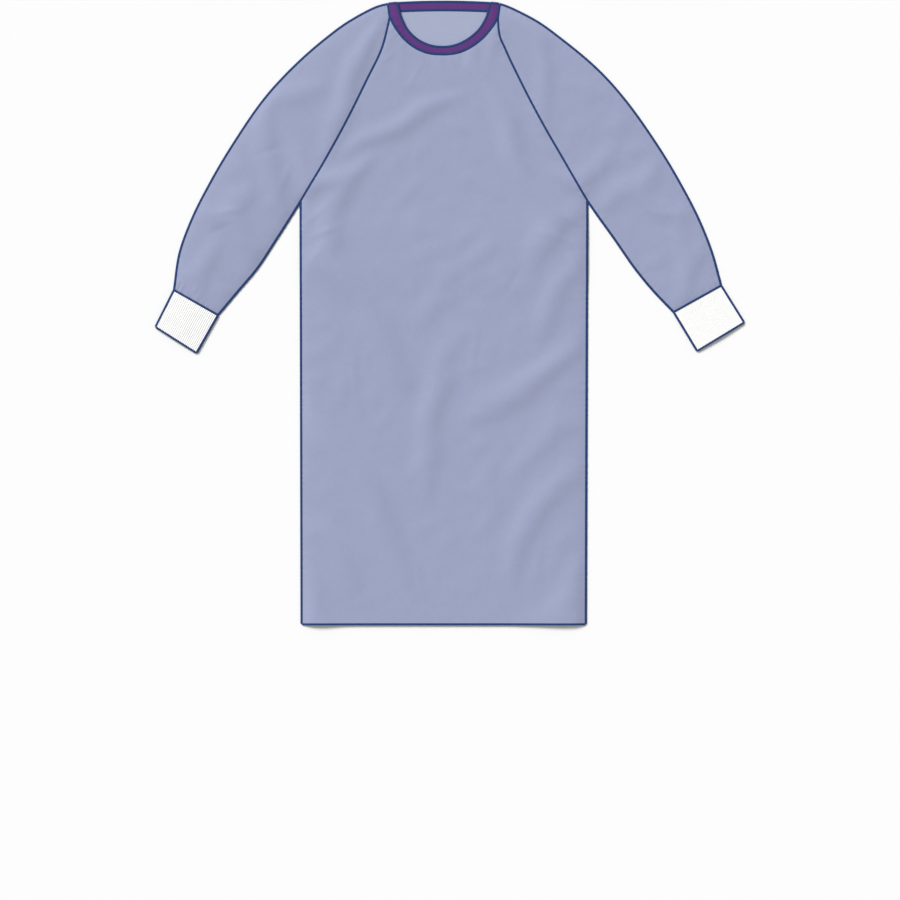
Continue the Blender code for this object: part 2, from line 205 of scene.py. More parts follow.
# How far along X the lowest place of the front neck band is from the centre-front line
NECK_LEAN = -0.003
# Overarm edge, and raglan and underarm edge: over_x, over_down, under_x, under_down
SLEEVE_ROWS = {
    "right": (
        (0.112, 0.004, 0.1085, 0.0295),
        (0.134, 0.01, 0.115, 0.059),
        (0.186, 0.037, 0.126, 0.097),
        (0.241, 0.077, 0.155, 0.157),
        (0.308, 0.137, 0.195, 0.238),
        (0.362, 0.197, 0.239, 0.318),
        (0.418, 0.278, 0.2875, 0.399),
        (0.466, 0.358, 0.338, 0.479),
        (0.507, 0.439, 0.378, 0.539),
        (0.53, 0.502, 0.412, 0.579),
        (0.542, 0.579, 0.454, 0.629),
    ),
    "left": (
        (0.112, 0.004, 0.1085, 0.0295),
        (0.129, 0.01, 0.1105, 0.059),
        (0.183, 0.037, 0.1245, 0.097),
        (0.239, 0.077, 0.153, 0.157),
        (0.31, 0.137, 0.195, 0.238),
        (0.364, 0.197, 0.241, 0.318),
        (0.422, 0.278, 0.288, 0.398),
        (0.471, 0.358, 0.345, 0.479),
        (0.513, 0.439, 0.387, 0.539),
        (0.537, 0.499, 0.42, 0.579),
        (0.557, 0.57, 0.462, 0.623),
    ),
}
UNDERARM_ROW = 6
# Corners of each cuff's end, overarm and underarm: x, down
CUFF_END = {
    "right": ((0.579, 0.653), (0.497, 0.705)),
    "left": ((0.603, 0.644), (0.509, 0.701)),
}
HEM_HALF_WIDTH = {"right": 0.2855, "left": 0.2850}
OUTWARD = {"right": -1.0, "left": 1.0}
FLAPS = {"right": "inner", "left": "outer"}

# Real thickness of what shows: the knit's between its ribs, and a tape's rims as a share of its own. The
# relief is the share of the cloth's creases and puckers that a cuff or the band has
SHELL = 0.0006
SHARP_ANGLE = 50
KNIT_SHELL = 0.0008
RIB_RISE = 0.0011
HIDDEN_RIB_RISE = 0.0008
RIB_FULLNESS = 0.7
# The ribs wander by these swings, at these rates along and across the cuff
RIB_WANDER = ((0.10, 5.3, 9.0), (0.05, 17.0, 31.0))
CUFF_BACK_TOP = 0.00165
CUFF_PROUD = 0.0001
CUFF_RELIEF = 0.5
BAND_SHELL = 0.0013
BAND_RELIEF = 0.6
BACK_BAND_SHELL = 0.0011
TIE_SHELL = 0.0008
TAPE_RIM = 0.35
TAPE_SQUARENESS = 4

# Points for each span of a curve, the shells' spacings and steps, and the runs that a spacing divides
COARSE = 4
FINE = 24
FRONT_SPACING = 0.0040
SLEEVE_BACK_SPACING = 0.0100
BACK_SPACING = 0.0050
BACK_ACROSS = 0.0150
RAMP_STEPS = 6
KNIT_SPACING = 0.0028
STEPS_PER_RIB = 8
BAND_SPACING = 0.0022
BAND_STEPS = 14
BACK_BAND_POINTS = 90
TIE_POINTS = 120
TAPE_STEPS = 12
RAGLAN_RUN = 0.42
SIDE_RUN = 0.85
FRONT_WIDTH = 0.577
SLEEVE_WIDTH = 0.170

# Cloth simulation of the front layer, and how much of its height is kept. It runs in a world CLOTH_SCALE
# times as large, where SURFACE_DROP and the settings are measured, and starts from low uneven waves
CLOTH_SPACING = 0.0085
CLOTH_SCALE = 10.0
CLOTH_FRAMES = 22
CLOTH_SHARE = 0.60
CLOTH_START = 0.0002
CLOTH_NOISE = 0.00003
CLOTH_SEED = 3
NOISE_WAVES = 60
NOISE_LENGTHS = (0.03, 0.12)
NOISE_LENGTH = 0.08
CLOTH_GRAVITY = 0.6
SURFACE_DROP = 0.006
SURFACE_SETTINGS = dict(thickness_outer=0.001, cloth_friction=2.0)
CONTACT_SETTINGS = dict(distance_min=0.005, collision_quality=2)
CLOTH_SETTINGS = dict(
    quality=6, mass=0.2, air_damping=2.0,
    tension_stiffness=20.0, compression_stiffness=20.0, shear_stiffness=8.0, bending_stiffness=30.0,
    tension_damping=8.0, compression_damping=8.0, shear_damping=8.0, bending_damping=0.5,
)
LATTICE = 0.004
LATTICE_BLUR = 0.0065
LATTICE_MARGIN = 0.03
LATTICE_LEAST = 0.02

# Low folds that the front layer has before it settles: x, down, heading in degrees from +X, length,
# half_width, height
FOLD_ROWS = (
    (-0.245, 0.33, 62, 0.24, 0.026, 0.0016),
    (0.24, 0.345, 118, 0.26, 0.028, 0.0018),
    (-0.225, 0.62, 78, 0.26, 0.03, 0.0014),
    (0.215, 0.64, 103, 0.3, 0.032, 0.0016),
    (-0.395, 0.385, 47, 0.3, 0.026, 0.0018),
    (0.405, 0.39, 131, 0.28, 0.026, 0.0018),
    (-0.48, 0.52, 66, 0.16, 0.022, 0.0014),
    (0.49, 0.515, 114, 0.17, 0.022, 0.0014),
    (-0.27, 0.17, 38, 0.22, 0.028, 0.0014),
    (0.275, 0.165, 142, 0.2, 0.028, 0.0014),
    (-0.12, 0.88, 84, 0.46, 0.036, 0.0018),
    (0.085, 0.96, 95, 0.4, 0.034, 0.0016),
    (0.2, 0.9, 88, 0.34, 0.032, 0.0012),
    (-0.215, 1.06, 96, 0.3, 0.032, 0.0014),
    (0.01, 0.3, 86, 0.28, 0.036, 0.001),
)

# Small creases of the front layer beside its settled folds, with the same columns
CREASE_ROWS = (
    (-0.262, 0.432, 38, 0.1, 0.006, 0.0007),
    (-0.24, 0.462, 22, 0.13, 0.007, 0.0008),
    (-0.255, 0.505, 55, 0.09, 0.006, 0.0006),
    (0.258, 0.44, 146, 0.11, 0.0065, 0.0008),
    (0.236, 0.476, 160, 0.12, 0.007, 0.0007),
    (0.262, 0.52, 118, 0.08, 0.006, 0.0006),
    (-0.318, 0.352, 70, 0.09, 0.006, 0.0007),
    (-0.352, 0.3, 18, 0.1, 0.0065, -0.0006),
    (-0.43, 0.42, 8, 0.09, 0.006, 0.0008),
    (-0.445, 0.455, 20, 0.08, 0.006, -0.0006),
    (0.322, 0.36, 112, 0.09, 0.006, 0.0007),
    (0.362, 0.31, 158, 0.11, 0.0065, -0.0006),
    (0.438, 0.425, 170, 0.1, 0.006, 0.0008),
    (0.452, 0.47, 156, 0.08, 0.006, 0.0006),
    (-0.06, 0.15, 62, 0.07, 0.006, 0.0005),
    (0.052, 0.148, 122, 0.08, 0.006, 0.0005),
    (0.105, 0.118, 140, 0.06, 0.0055, 0.0005),
    (-0.112, 0.112, 44, 0.06, 0.0055, 0.0005),
    (-0.18, 0.76, 96, 0.14, 0.008, 0.0006),
    (0.06, 0.7, 84, 0.16, 0.008, 0.0006),
    (0.19, 1.12, 78, 0.15, 0.008, 0.0006),
    (-0.05, 1.15, 100, 0.13, 0.008, 0.0006),
    (0.14, 0.56, 60, 0.1, 0.007, -0.0005),
    (-0.14, 0.6, 118, 0.11, 0.007, -0.0005),
)

# How the cloth puckers along a seam, and is gathered into a cuff. A drift and a fade are swings and rates
PUCKER = 0.00028
PUCKER_PITCH = 0.0145
PUCKER_RUN = 0.011
PUCKER_DRIFT = ((1.9, 1.31), (1.2, 0.47))
PUCKER_FADE = (0.4, 37.0)
SEAM_DIP = 0.0004
SEAM_DIP_RUN = 0.005
CREASE_RUN = 0.030
FOLD_RUN = 0.020
GATHER = 0.00055
GATHER_PITCH = 0.011
GATHER_RUN = 0.045
GATHER_DRIFT = (1.6, 95.0)
GATHER_FADE = (0.35, 210.0)

# Overlock thread: how wide it is, how far it stands proud of the cloth, the ridges of its wraps, its ends,
# and how low it may reach
SEAM_WIDTH = 0.0044
EDGE_SEAM_WIDTH = 0.0052
BAND_SEAM_WIDTH = 0.0054
SEAM_PROUD = 0.0005
SEAM_SUNK = 0.0003
BAND_SEAM_LIFT = 0.0003
BACK_BAND_SEAM_LIFT = 0.0004
EDGE_PROUD = 0.00025
JOINT_OVERLAP = 0.0015
JOINT_RUN = 0.003
WRAP_PITCH = 0.0024
WRAP_DEPTH = 0.00030
WRAP_SLANT = 2.2
WRAP_AROUND = 10
WRAP_SQUARENESS = 0.6
WRAP_SHARPNESS = 0.7
PER_WRAP = 6
HIDDEN_PER_WRAP = 3
THREAD_END = 0.25
THREAD_END_LEAST = 0.05
THREAD_REST = 0.00004

# Camera: straight above the photo's frame. The centre-front line and the top of the neck band are so many
# pixels from its left and top edge
PHOTO_SIZE = 900
PIXEL = 0.00201
PHOTO_CENTRE_FRONT = 443.8
PHOTO_TOP = 2.1
LENS = 100
SENSOR = 36

# Light: the key's bearing from +X and its height, in degrees, how wide it looks, and both strengths
KEY_AZIMUTH = 128
KEY_ELEVATION = 37
KEY_SPREAD = 24
KEY_STRENGTH = 3.38
FILL_STRENGTH = 0.42
FLOOR_HALF = 60.0
FLOOR_COLOUR = (0.92, 0.92, 0.92)


def down_to_y(down):
    return LENGTH / 2 - np.asarray(down)


def in_plan(outward, rows):
    """Points in plan from rows of x, outwards from the centre-front line, and down."""
    rows = np.asarray(rows, float)
    return np.stack([outward * rows[..., 0], down_to_y(rows[..., 1])], axis=-1)


def plan_curve(x_from, x_to, down_of, count=60):
    x = np.linspace(x_from, x_to, count)
    return np.stack([x, down_to_y(down_of(x))], axis=1)


def ease(share):
    """Rises from 0 to 1 and arrives level."""
    held = np.clip(share, 0, 1)
    return held * (2 - held)


def smooth_step(share):
    """Rises from 0 to 1, level at both ends."""
    held = np.clip(share, 0, 1)
    return held * held * (3 - 2 * held)


def steps_of(line):
    """The lengths of a line's steps."""
    return np.linalg.norm(np.diff(line, axis=0), axis=1)


def summed(steps):
    """How far along its line each point is, from the lengths of the steps."""
    return np.concatenate([[0], np.cumsum(steps)])


def left_of(headings):
    """Unit vectors to the left of headings in plan."""
    headings = headings / np.linalg.norm(headings, axis=1)[:, None]
    return np.stack([-headings[:, 1], headings[:, 0]], axis=1)


def smooth_through(rows, per_span):
    """A cubic curve through the rows, sampled per_span times between each two."""
    rows = np.array(rows, float)
    steps = steps_of(rows)
    slopes = np.gradient(rows, summed(steps), axis=0)
    made = [rows[:1]]
    for i, step in enumerate(steps):
        t = (np.arange(1, per_span + 1) / per_span)[:, None]
        made.append(
            (1 + 2 * t) * (1 - t) ** 2 * rows[i]
            + t * (1 - t) ** 2 * step * slopes[i]
            + t * t * (3 - 2 * t) * rows[i + 1]
            + t * t * (t - 1) * step * slopes[i + 1]
        )
    return np.concatenate(made)


def moved_sideways(line, distance):
    """A line in plan, moved to its left by distance, with mitred corners."""
    left = left_of(np.diff(line, axis=0))
    before, after = np.concatenate([left[:1], left]), np.concatenate([left, left[-1:]])
    mitre = (before + after) / (1 + (before * after).sum(axis=1))[:, None]
    return line + distance * mitre


def at_places(line, along, places):
    """The line's points at these places, where along is the place of each point that it has."""
    return np.stack([np.interp(places, along, line[:, k]) for k in (0, 1)], axis=1)


def resampled(line, steps):
    """The line in plan with this many even steps."""
    along = summed(steps_of(line))
    return at_places(line, along, np.linspace(0, along[-1], steps + 1))


def evenly(lines, spacing):
    """Lines with as many points each, resampled together at about this spacing."""
    along = summed(np.mean([steps_of(line) for line in lines], axis=0))
    places = np.linspace(0, along[-1], round(along[-1] / spacing) + 1)
    return [at_places(line, along, places) for line in lines]


def nearest_on(line, plan):
    """How far each point of plan is from a line in plan, and how far along the line its nearest is."""
    distance = np.full(plan.shape[:-1], np.inf)
    place = np.zeros(plan.shape[:-1])
    passed = 0.0
    for a, b in zip(line[:-1], line[1:]):
        reach = b - a
        length = np.linalg.norm(reach)
        share = np.clip(((plan - a) @ reach) / (reach @ reach), 0, 1)
        here = np.linalg.norm(plan - a - share[..., None] * reach, axis=-1)
        place = np.where(here < distance, passed + share * length, place)
        distance = np.minimum(distance, here)
        passed += length
    return distance, place


# Outlines in plan


def back_neck_down(x):
    """How far down the back neckline is, where the back neck band is sewn on."""
    return BACK_BAND_DEPTH + BACK_NECK_DROP * (np.asarray(x) / NECK_ROWS[0][0]) ** 2


def back_top_down(x):
    """How far down the top edge of the back neck band is."""
    return BACK_TOP_DROP * (np.asarray(x) / NECK_ROWS[0][0]) ** 2


def back_corner():
    """x and down of the place where the back raglan seam meets the back neckline."""
    shoulder_x, shoulder_down, front_x, front_down = *NECK_ROWS[0][:2], *NECK_ROWS[1][:2]
    share = (back_neck_down(shoulder_x) - shoulder_down) / (front_down - shoulder_down)
    corner_x = shoulder_x + share * (front_x - shoulder_x)
    return corner_x, float(back_neck_down(corner_x))


def sleeve_edges(side, layer="front", per_span=FINE):
    """The overarm edge, and the raglan and underarm edge, of one half of a sleeve."""
    rows = [list(row) for row in SLEEVE_ROWS[side]]
    if layer == "back":
        rows[0][2:] = back_corner()
    samples = smooth_through(rows, per_span)
    return in_plan(OUTWARD[side], samples[:, :2]), in_plan(OUTWARD[side], samples[:, 2:])


def cuff_edges(side):
    """The two side edges of a cuff, from the cuff seam to its end."""
    ends = in_plan(OUTWARD[side], CUFF_END[side])
    return [np.stack([edge[-1], end]) for edge, end in zip(sleeve_edges(side), ends)]


def cuff_line(side, end):
    """The line across a cuff at its seam, which is end 0, or at its open end, which is end 1."""
    return np.stack([edge[end] for edge in cuff_edges(side)])


def neck_edges(per_span=FINE):
    """The outer and inner edge of the front neck band from the right shoulder to the left. A raglan corner
    is per_span points from either end."""
    rows = np.array(NECK_ROWS)
    past_centre = rows[-2:-1] * (-1, 1, -1, 1)
    curve = smooth_through([*rows[1:], *past_centre], per_span)[:-per_span]
    straight = np.linspace(rows[0], rows[1], per_span, endpoint=False)
    half = np.concatenate([straight, curve])
    corner, lowest = NECK_ROWS[1][1], NECK_ROWS[-1][1]
    lean = np.outer(NECK_LEAN * smooth_step((half[:, 1] - corner) / (lowest - corner)), (1, 0))
    edges = in_plan(1, half[:, :2]), in_plan(1, half[:, 2:])
    return [np.concatenate([edge * (-1, 1) + lean, (edge + lean)[-2::-1]]) for edge in edges]


def raglan(side, layer="front", per_span=FINE):
    return sleeve_edges(side, layer, per_span)[1][: UNDERARM_ROW * per_span + 1]


def hem_corner(side):
    return in_plan(OUTWARD[side], (HEM_HALF_WIDTH[side], LENGTH))


def contour_lines(side, per_span=COARSE):
    """The edges along which the front and back layers are sewn together: overarm, underarm and side."""
    over, under = sleeve_edges(side, per_span=per_span)
    cuff_over, cuff_under = cuff_edges(side)
    underarm = UNDERARM_ROW * per_span
    return {
        "overarm": np.concatenate([over, cuff_over[1:]]),
        "underarm": np.concatenate([under[underarm:], cuff_under[1:]]),
        "side": np.stack([under[underarm], hem_corner(side)]),
    }


def front_seams():
    """The seams inside the front layer."""
    lines = [neck_edges(COARSE)[0]]
    for side in OUTWARD:
        lines += [raglan(side, per_span=COARSE), cuff_line(side, 0)]
    return lines


# Grids in plan


def between(first, second, share):
    """The plan points between two edges that have as many points as each other."""
    return first[:, None] * (1 - share[:, None]) + second[:, None] * share[:, None]


def with_cut_ends(over, under, distance):
    """The two side edges of a piece, with both its ends moved in."""
    over, under = over.copy(), under.copy()
    for i, inward in ((0, 1), (-1, -2)):
        across = under[i] - over[i]
        normal = np.array([-across[1], across[0]]) / np.linalg.norm(across)
        normal *= np.sign(normal @ (over[inward] - over[i]))
        for edge in (over, under):
            run = edge[inward] - edge[i]
            edge[i] += run * distance / (run @ normal)
    return over, under


def sleeve_sides(side, layer, spacing):
    """The two side edges of a sleeve half in even steps, RAGLAN_RUN / spacing of them beside the body."""
    edges = sleeve_edges(side, layer)
    split = UNDERARM_ROW * FINE
    upper, lower = round(RAGLAN_RUN / spacing), round(steps_of(edges[0][split:]).sum() / spacing)
    return [
        np.concatenate([resampled(edge[: split + 1], upper), resampled(edge[split:], lower)[1:]])
        for edge in edges
    ]


def panel_side(side, layer, spacing):
    """The side edge of a body panel: down its raglan seam and its side seam, to the hem."""
    under = sleeve_sides(side, layer, spacing)[1]
    corner = round(RAGLAN_RUN / spacing)
    seam = resampled(np.stack([under[corner], hem_corner(side)]), round(SIDE_RUN / spacing))
    return np.concatenate([under[: corner + 1], seam[1:]])


def curve_left(row_y, corner_y):
    """How much of the neckline's curve a row keeps: all of it at the neck, and none a little lower."""
    return np.clip(1 - (corner_y - row_y) / NECK_CURVE_RUN, 0, 1)


def front_plan(spacing, gap=SEAM_GAP):
    """Rows from side to side, between the right and the left edge, under the neckline."""
    right, left = (panel_side(side, "front", spacing) for side in OUTWARD)
    across = round(FRONT_WIDTH / spacing)
    neckline = resampled(neck_edges()[0][FINE:-FINE], across)
    outline = moved_sideways(np.concatenate([right[::-1], neckline[1:-1], left]), -gap / 2)
    right, left = outline[: len(right)][::-1], outline[-len(left) :]
    neckline = outline[len(right) - 1 : 1 - len(left)]
    even = np.linspace(0, 1, across + 1)
    neck_share = (neckline[:, 0] - right[0, 0]) / (left[0, 0] - right[0, 0])
    straight = right[0] + neck_share[:, None] * (left[0] - right[0])
    rows = []
    for start, end in zip(right, left):
        kept = curve_left(start[1], right[0, 1])
        share = even + kept * (neck_share - even)
        rows.append(start + share[:, None] * (end - start) + kept * (neckline - straight))
    return np.array(rows)


def flap_stations(side_x, flap):
    """x of the points across a back flap, from its side edge at side_x to its free edge. The inner flap
    has some along its ramp on to the outer flap."""
    across = round((HEM_HALF_WIDTH["left"] + LAP) / BACK_ACROSS)
    if flap == "outer":
        return np.linspace(side_x, -LAP, across + 1)
    ramp = min(LAP_RAMP, (-LAP - side_x) / 2)
    on_flap = round(2 * LAP / BACK_ACROSS)
    return np.concatenate([
        np.linspace(side_x, -LAP - ramp, across - on_flap + 1),
        np.linspace(-LAP - ramp, -LAP, RAMP_STEPS + 1)[1:-1],
        np.linspace(-LAP, LAP, on_flap + 1),
    ])


def back_plan(side, spacing):
    """Rows from the side edge to the free edge past the middle, under the back neckline."""
    edge = moved_sideways(panel_side(side, "back", spacing), -OUTWARD[side] * SEAM_GAP / 2)
    rows = []
    for start in edge:
        x = flap_stations(start[0], FLAPS[side])
        drop = back_neck_down(x) - back_neck_down(x[0])
        rows.append(np.stack([x, start[1] - curve_left(start[1], edge[0, 1]) * drop], axis=1))
    plan = np.array(rows)
    plan[0, :, 1] -= SEAM_GAP / 2
    return plan


def sleeve_plan(side, layer, spacing, gap=SEAM_GAP):
    """Rows from the overarm edge to the raglan and underarm edge."""
    over, under = sleeve_sides(side, layer, spacing)
    under = moved_sideways(under, OUTWARD[side] * gap / 2)
    over, under = with_cut_ends(over, under, gap / 2)
    return between(over, under, np.linspace(0, 1, round(SLEEVE_WIDTH / spacing) + 1))


# Heights

CONTOUR = [line for side in OUTWARD for line in contour_lines(side).values()]
SEAMS = front_seams()
SETTLED = None


def on_body(plan):
    """Where the plan is on the body. It holds at the ties, where the sleeves are clear of the body."""
    return np.abs(plan[..., 0]) < SLEEVE_ROWS["left"][UNDERARM_ROW][2] + SEAM_GAP


def tie_lift(plan, ramp):
    """How far the waist ties lift the cloth that lies on them."""
    lift = np.zeros(plan.shape[:-1])
    for _, _, down, _ in TIE_ROWS:
        clear = np.abs(LENGTH / 2 - plan[..., 1] - down) - TIE_WIDTH / 2
        lift = np.maximum(lift, (TIE + LAYER_GAP) * smooth_step(1 - clear / ramp))
    return lift


def neck_rise(plan):
    """How far the front layer climbs at the neck, where both back flaps and their bands lie under it."""
    above = smooth_step(1 - (LENGTH / 2 - plan[..., 1]) / NECK_RISE_DOWN)
    return NECK_RISE * above * smooth_step((NECK_RISE_OUT - np.abs(plan[..., 0])) / NECK_RAMP)


def ridges(plan, rows):
    """The height of a table of folds or creases."""
    height = np.zeros(plan.shape[:-1])
    for x, down, heading, length, half_width, rise in rows:
        axis = np.array([np.cos(np.radians(heading)), np.sin(np.radians(heading))])
        offset = plan - in_plan(1, (x, down))
        along = offset @ axis / (length / 2)
        across = (offset @ np.array([-axis[1], axis[0]])) / half_width
        height += rise * smooth_step(1 - np.abs(along)) * np.exp(-(across**2))
    return height


def faded(place, swing, rate):
    """A strength that wavers along a seam."""
    return 1 - swing + swing * np.sin(place * rate)


def puckers(plan):
    """The dip and the small ripples of the cloth beside the seams of the front layer."""
    height = np.zeros(plan.shape[:-1])
    for line in SEAMS + CONTOUR:
        off, place = nearest_on(line, plan)
        drift = sum(swing * np.sin(place / PUCKER_PITCH * rate) for swing, rate in PUCKER_DRIFT)
        ripple = np.sin(2 * np.pi * place / PUCKER_PITCH + drift)
        height += PUCKER * faded(place, *PUCKER_FADE) * ripple * np.exp(-((off / PUCKER_RUN) ** 2))
        height -= SEAM_DIP * np.exp(-((off / SEAM_DIP_RUN) ** 2))
    return height


def gathers(plan):
    """The sleeve's end is eased into its cuff, in short ripples that run up the sleeve."""
    height = np.zeros(plan.shape[:-1])
    swing, rate = GATHER_DRIFT
    for side in OUTWARD:
        joint = cuff_line(side, 0)
        off, place = nearest_on(joint, plan)
        over = sleeve_edges(side, per_span=COARSE)[0]
        up_sleeve = (plan - joint[0]) @ (over[-3] - over[-1]) > 0
        ripple = np.sin(2 * np.pi * place / GATHER_PITCH + swing * np.sin(place * rate))
        reach = GATHER_RUN * faded(place, *GATHER_FADE)
        height += GATHER * up_sleeve * ripple * smooth_step(1 - off / reach)
    return height


def folds(plan):
    """The settled folds, or where the simulation is skipped, the folds that it starts from."""
    if SETTLED is None:
        return ridges(plan, FOLD_ROWS)
    return CLOTH_SHARE * looked_up(SETTLED, plan)


def front_middle(plan, wall=CLOTH, beneath=CLOTH, relief=1.0):
    """The middle of the front layer's wall: its solid's form, with the settled folds and finer creases."""
    inside = np.min([nearest_on(line, plan)[0] for line in CONTOUR], axis=0)
    fullness = ease(inside / CROWN_RUN)
    form = (
        beneath
        + LAYER_GAP
        + CROWN * fullness
        + neck_rise(plan)
        + on_body(plan) * tie_lift(plan, TIE_FRONT_RAMP)
        + folds(plan) * ease(inside / FOLD_RUN)
    )
    fine = ridges(plan, CREASE_ROWS) * ease(inside / CREASE_RUN) + puckers(plan) + gathers(plan)
    return form + wall / 2 + relief * fine


def blurred(field, reach):
    """The field smoothed by a bell of this reach, in cells."""
    at = np.arange(-round(3 * reach), round(3 * reach) + 1)
    bell = np.exp(-((at / reach) ** 2) / 2)
    for axis in (0, 1):
        field = np.apply_along_axis(lambda line: np.convolve(line, bell / bell.sum(), "same"), axis, field)
    return field


def halved(grid, axis):
    """The grid with a point added midway between each two along an axis."""
    grid = np.moveaxis(grid, axis, 0)
    finer = np.empty((2 * len(grid) - 1, *grid.shape[1:]))
    finer[::2] = grid
    finer[1::2] = (grid[1:] + grid[:-1]) / 2
    return np.ascontiguousarray(np.moveaxis(finer, 0, axis))


def lattice_of(grids):
    """The heights of grids of points on an even lattice in plan, with its corner."""
    plan = np.concatenate([grid[..., :2].reshape(-1, 2) for grid in grids])
    corner = plan.min(axis=0) - LATTICE_MARGIN
    columns, rows = np.ceil((plan.max(axis=0) + LATTICE_MARGIN - corner) / LATTICE).astype(int)
    total, count = np.zeros((rows, columns)), np.zeros((rows, columns))
    for grid in grids:
        for axis in (0, 0, 1, 1):
            grid = halved(grid, axis)
        cell = np.round((grid[..., :2] - corner) / LATTICE).astype(int)
        np.add.at(total, (cell[..., 1], cell[..., 0]), grid[..., 2])
        np.add.at(count, (cell[..., 1], cell[..., 0]), 1)
    met = count > 0
    reach = LATTICE_BLUR / LATTICE
    heights = blurred(np.where(met, total / np.maximum(count, 1), 0), reach)
    return corner, heights / np.maximum(blurred(met.astype(float), reach), LATTICE_LEAST)


def looked_up(lattice, plan):
    """The lattice's height at each point of plan, by cubic B-splines."""
    corner, heights = lattice
    place = (plan - corner) / LATTICE
    cell = np.floor(place).astype(int)
    t = place - cell
    weights = [
        (1 - t) ** 3 / 6,
        (3 * t**3 - 6 * t**2 + 4) / 6,
        (-3 * t**3 + 3 * t**2 + 3 * t + 1) / 6,
        t**3 / 6,
    ]
    found = np.zeros(plan.shape[:-1])
    for i, j in np.ndindex(4, 4):
        row = np.clip(cell[..., 1] + i - 1, 0, heights.shape[0] - 1)
        column = np.clip(cell[..., 0] + j - 1, 0, heights.shape[1] - 1)
        found += weights[i][..., 1] * weights[j][..., 0] * heights[row, column]
    return found


def joined_layer():
    """The front layer as one sheet: its points in plan, the point numbers of each grid, and the numbers of
    the points that are sewn down to the back layer or into the neck band and the cuffs."""
    plan = front_plan(CLOTH_SPACING, 0)
    points = [plan.reshape(-1, 2)]
    front = np.arange(len(points[0])).reshape(plan.shape[:2])
    grids, sewn, count = [front], [front[0]], front.size
    corner = round(RAGLAN_RUN / CLOTH_SPACING)
    for side, column in (("right", 0), ("left", -1)):
        plan = sleeve_plan(side, "front", CLOTH_SPACING, 0)
        own = np.ones(plan.shape[:2], bool)
        own[: corner + 1, -1] = False
        grid = np.empty(own.shape, int)
        grid[own] = count + np.arange(own.sum())
        grid[: corner + 1, -1] = front[: corner + 1, column]
        count += own.sum()
        points.append(plan[own])
        grids.append(grid)
        sewn += [front[corner:, column], grid[:, 0], grid[0], grid[-1], grid[corner:, -1]]
    return np.concatenate(points), grids, np.unique(np.concatenate(sewn))


def settled_folds():
    """Blender's cloth simulation lets the front layer down on to the back layer with its low folds in it.
    Gives the lattice of the heights that are left."""
    plan, grids, sewn = joined_layer()
    rng = np.random.default_rng(CLOTH_SEED)
    rough = np.zeros(len(plan))
    for _ in range(NOISE_WAVES):
        heading, wave = rng.uniform(0, np.pi), rng.uniform(*NOISE_LENGTHS)
        towards = np.array([np.cos(heading), np.sin(heading)]) * 2 * np.pi / wave
        rough += CLOTH_NOISE * np.sin(plan @ towards + rng.uniform(0, 2 * np.pi)) * wave / NOISE_LENGTH
    height = np.abs(rough) + CLOTH_START + ridges(plan, FOLD_ROWS)
    height[sewn] = 0
    points = CLOTH_SCALE * np.concatenate([plan, height[:, None]], axis=1)
    cloth = mesh_from("settling", points, np.concatenate([grid_faces(grid) for grid in grids]))
    held = cloth.vertex_groups.new(name="sewn")
    held.add(sewn.tolist(), 1.0, "REPLACE")
    surface = square("settling_on", CLOTH_SCALE, -SURFACE_DROP)
    surface.modifiers.new("surface", "COLLISION")
    modifier = cloth.modifiers.new("settling", "CLOTH")
    modifier.point_cache.frame_start = 1
    modifier.point_cache.frame_end = CLOTH_FRAMES
    for owner, settings in (
        (surface.collision, SURFACE_SETTINGS),
        (modifier.collision_settings, CONTACT_SETTINGS),
        (modifier.settings, CLOTH_SETTINGS),
    ):
        for key, value in settings.items():
            setattr(owner, key, value)
    modifier.settings.vertex_group_mass = held.name
    modifier.settings.effector_weights.gravity = CLOTH_GRAVITY
    for frame_number in range(1, CLOTH_FRAMES + 1):
        bpy.context.scene.frame_set(frame_number)
    settled = cloth.evaluated_get(bpy.context.evaluated_depsgraph_get())
    points = np.empty(len(plan) * 3, np.float32)
    settled.data.vertices.foreach_get("co", points)
    points = points.reshape(-1, 3).astype(float) / CLOTH_SCALE
    bpy.context.scene.frame_set(1)
    for used in (cloth, surface):
        bpy.data.objects.remove(used)
    return lattice_of([points[grid] for grid in grids])


def back_middle(plan, flap=None, wall=CLOTH):
    """The middle of a back piece's wall: flat on the surface but for the waist ties under a panel, and
    on the inner flap, for the outer flap under it."""
    height = np.full(plan.shape[:-1], wall / 2)
    if flap:
        height += tie_lift(plan, TIE_RAMP)
    if flap == "inner":
        height += (CLOTH + LAYER_GAP) * smooth_step((plan[..., 0] + LAP) / LAP_RAMP + 1)
    return height


# Materials


